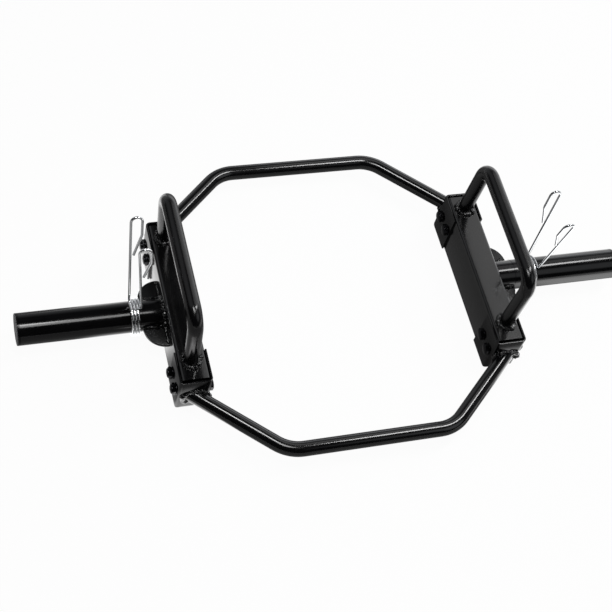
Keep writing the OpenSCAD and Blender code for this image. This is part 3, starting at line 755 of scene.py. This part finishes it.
def gusset():
    """The outline of a quarter circle about the corner of sleeve and rail, carried through the plate's
    thickness; the first and last outlines are drawn in along the rim, which rounds its edges."""
    a, e = np.linspace(0, np.pi / 2, 33), gusset_edge
    level = np.array([-1, -1, -1, 1, 1, 1]) * gusset_t / 2 + np.array([0, 0.3, 1, -1, -0.3, 0]) * e
    reach = gusset_r - np.array([1, 0.3, 0, 0, 0.3, 1]) * e
    x = rail_outer_x + reach[:, None] * np.cos(a)
    y = -sleeve_r - reach[:, None] * np.sin(a)
    root_y = 0.001 - sleeve_r
    root = np.array([[rail_outer_x, root_y], [rail_outer_x + gusset_r - e, root_y]])
    outline = np.concatenate([np.stack([x, y], axis=2), np.broadcast_to(root, (6, 2, 2))], axis=1)
    return loft(np.dstack([outline, np.broadcast_to((sleeve_z + level)[:, None], outline.shape[:2])]))


def straight_bead(start, stop, first, second, ripples, seed, size):
    """A bead along a straight seam, drawn to a point at both ends."""
    t = np.linspace(0, 1, 90)
    curve = np.array(start) + t[:, None] * (np.array(stop) - np.array(start))
    ends = np.clip(np.minimum(t, 1 - t) / 0.08, 0.05, 1) ** 0.5
    first, second = (np.broadcast_to(np.array(way, float), curve.shape) for way in (first, second))
    return bead(curve, first, second, ripples, seed, size * ends, joined=False)


# a bead round the sleeve's root, and the seams of both gussets with the sleeve and with the rail, above
# and below the plate; each seam stops 1.5 mm short of the plate's rim
root_r, seam_short, sleeve_seam_w, rail_seam_w = sleeve_r - root_relief, 0.0015, 0.0042, 0.0026
sleeve_beads = [ring_bead((rail_outer_x, 0, sleeve_z), (1, 0, 0), (0, 1, 0), root_r, 30, 0.4)]
skin_y = -math.sqrt(root_r ** 2 - (gusset_t / 2) ** 2)
seam_x, seam_y = root_x - seam_short, seam_short - sleeve_r - gusset_r
for k, level in enumerate((1, -1)):
    seam_z = sleeve_z + level * gusset_t / 2
    along_sleeve = straight_bead((rail_outer_x + 0.002, skin_y, seam_z), (seam_x, skin_y, seam_z),
                                 (0, -1, 0), (0, 0.12 * level, 0.99 * level), 13, 0.2 + k, sleeve_seam_w)
    along_rail = straight_bead((rail_outer_x, skin_y - 0.002, seam_z), (rail_outer_x, seam_y, seam_z),
                               (1, 0, 0), (0, 0, level), 12, 0.6 + k, rail_seam_w)
    sleeve_beads += [moved(shape, turn) for turn in (np.eye(3), corner_turns["right_rear"])
                     for shape in (along_sleeve, along_rail)]
piece("sleeve_beads", sleeve_beads + [moved(shape, mirror_x) for shape in sleeve_beads], weld_paint,
      "frame", ["sleeve_welds"], round_crease)
gusset_paint = painted("gusset_paint", Smooth=0.22, Dull=0.34)
for corner, turn in corner_turns.items():
    piece(corner + "_gusset_plate", [moved(gusset(), turn)], gusset_paint, "frame",
          [corner + "_gusset"])


# Spring collars: one chromed spring wire each, coiled three times round a sleeve, which it grips. The
# ends of the coil cross at the top and run up as two arms with finger loops. Pressing the loops together
# opens the coil.
wire_r, coil_pitch, coil_turns = 0.0021, 0.0048, 3
coil_gap = 0.00085
coil_r = (sleeve_r + coil_gap) / math.cos(math.pi / 24) + wire_r
inner_foot, foot_overlap, foot_bend_r, arm_spread = 82.0, 8.0, 0.006, 8.0  # in degrees but for the bend
arm_len, loop_w, loop_back, loop_tail = 0.156, 0.017, 0.028, 0.034
coil_sweep, split_turn = 360 * coil_turns + 2 * foot_overlap, 98.0
foot_turn = 90 + foot_overlap - arm_spread
arm_lean = math.atan(coil_pitch * coil_sweep / 360 / arm_len)


def chromed(name, light_and_shade_tint):
    """Chrome plate of a given paleness, which paints the light and shade on it, with a faint haze in its
    polish.
    """
    made, tree, shader = finish_of(name, light_and_shade_tint, 0.10, metal=1.0)
    haze = node_in(tree, "ShaderNodeTexNoise", Scale=90.0, Detail=3.0)
    where = tree.nodes.new("ShaderNodeTexCoord")
    tree.links.new(where.outputs["Object"], haze.inputs["Vector"])
    polish = node_in(tree, "ShaderNodeMapRange", To_Min=0.06, To_Max=0.2)
    tree.links.new(haze.outputs["Fac"], polish.inputs["Value"])
    tree.links.new(polish.outputs["Result"], shader.inputs["Roughness"])
    return made


def turned(angle):
    """The unit vector in the YZ plane at an angle in degrees from +Y towards +Z."""
    a = np.radians(angle)
    return np.stack([np.zeros_like(a), np.cos(a), np.sin(a)], axis=-1)


def coil_point(turn):
    """Middle of the wire: a helix of radius coil_r that advances one pitch along x each turn."""
    x = np.stack([wire_r + coil_pitch * turn / 360, 0 * turn, 0 * turn], axis=-1)
    return x + coil_r * turned(inner_foot + turn)


def collar_wire(start, stop, way, lean):
    """Rows of point, heading and side: the helix from one turn to another, a foot that bends out of it,
    a straight arm that leans by lean, and a finger loop with its slanted tail."""
    turn = np.linspace(start, stop, int(abs(stop - start) / 5) + 1)
    foot = inner_foot + stop
    rows = [(coil_point(turn), way * turned(inner_foot + turn + 90), turned(inner_foot + turn))]
    bend = foot - way * foot_turn * np.arange(1, 19) / 18
    middle = coil_point(np.array(float(stop))) + foot_bend_r * turned(np.array(foot))
    rows.append((middle - foot_bend_r * turned(bend), way * turned(bend + 90), turned(bend)))
    last, up0, side = rows[-1][0][-1], rows[-1][1][-1], rows[-1][2][-1]
    up = math.cos(lean) * up0 + np.array([math.sin(lean), 0, 0])
    across = math.sin(lean) * up0 - np.array([math.cos(lean), 0, 0])
    lead = 2 * wire_r
    last = last + lead * up0
    top = arm_len - lead - loop_w / 2
    curl = np.radians(np.arange(0, 181, 7.5))
    # in the arm's own plane: up the arm, across it and the heading's angle
    flat = [np.column_stack(np.broadcast_arrays(np.linspace(0.003, top - 0.004, 12), 0.0, 0.0))]
    flat.append(np.column_stack([
        top + loop_w / 2 * np.sin(curl), loop_w / 2 * (1 - np.cos(curl)), curl]))
    tail = np.array([
        (0.012, loop_w, 180), (loop_back - 0.004, loop_w, 180), (loop_back - 0.002, loop_w - 0.0002, 185),
        (loop_back, loop_w - 0.0008, 190), (loop_back + 0.002, loop_w - 0.0015, 196),
        (loop_back + 0.004, loop_w - 0.0022, 199), (loop_back + 0.020, loop_w - 0.00754, 199),
        (loop_back + loop_tail, 0.005, 199)])
    flat.append(np.column_stack([top - tail[:, 0], tail[:, 1], np.radians(tail[:, 2])]))
    flat = np.concatenate(flat)
    rows.append((np.array([last]), np.array([up0]), np.array([side])))
    rows.append((last + flat[:, :1] * up + flat[:, 1:2] * across,
                 np.cos(flat[:, 2:]) * up + np.sin(flat[:, 2:]) * across,
                 np.broadcast_to(side, (len(flat), 3))))
    path, heading, sides = (np.concatenate([row[k] for row in rows]) for k in range(3))
    return loft(carried(path, heading, sides, wire_r, 20))


def on_sleeve(shape, side_turn, roll, x):
    """A collar's wire rolled by some degrees about the sleeve's axis, turned to its side and moved to x."""
    a = math.radians(roll)
    rolled = np.array(((1, 0, 0), (0, math.cos(a), -math.sin(a)), (0, math.sin(a), math.cos(a))))
    return moved(shape, np.array(side_turn) @ rolled, (x, 0, sleeve_z))


# each side: its turn about Z, the collar's roll, its place along X and its chrome's paleness, which is
# painted light and shade: the left collar's chrome painted paler as lit, the right one's darker as in shade
half_turn = ((-1, 0, 0), (0, -1, 0), (0, 0, 1))
collars = {
    "left": (half_turn, 8.5, -0.314, (0.88, 0.89, 0.90)),
    "right": (np.eye(3), 0.5, 0.336, (0.50, 0.51, 0.52))}
outer_wire = collar_wire(split_turn, coil_sweep, 1, 0.0)
inner_wire = collar_wire(split_turn, 0, -1, arm_lean)
for side, (side_turn, roll, x, light_and_shade_tint) in collars.items():
    # lit and shaded copies of one chrome: the paleness paints the light and shade on each collar
    chrome_finish = chromed(side + "_chrome", light_and_shade_tint)
    collar = side + "_collar"
    piece(collar + "_wire", [on_sleeve(outer_wire, side_turn, roll, x)], chrome_finish,
          collar, [collar + "_coil", collar + "_outer_arm"], round_crease)
    piece(collar + "_lever_wire", [on_sleeve(inner_wire, side_turn, roll, x)], chrome_finish,
          collar + "_lever", [collar + "_inner_arm"], round_crease)


bpy.context.scene.view_settings.view_transform = "Standard"
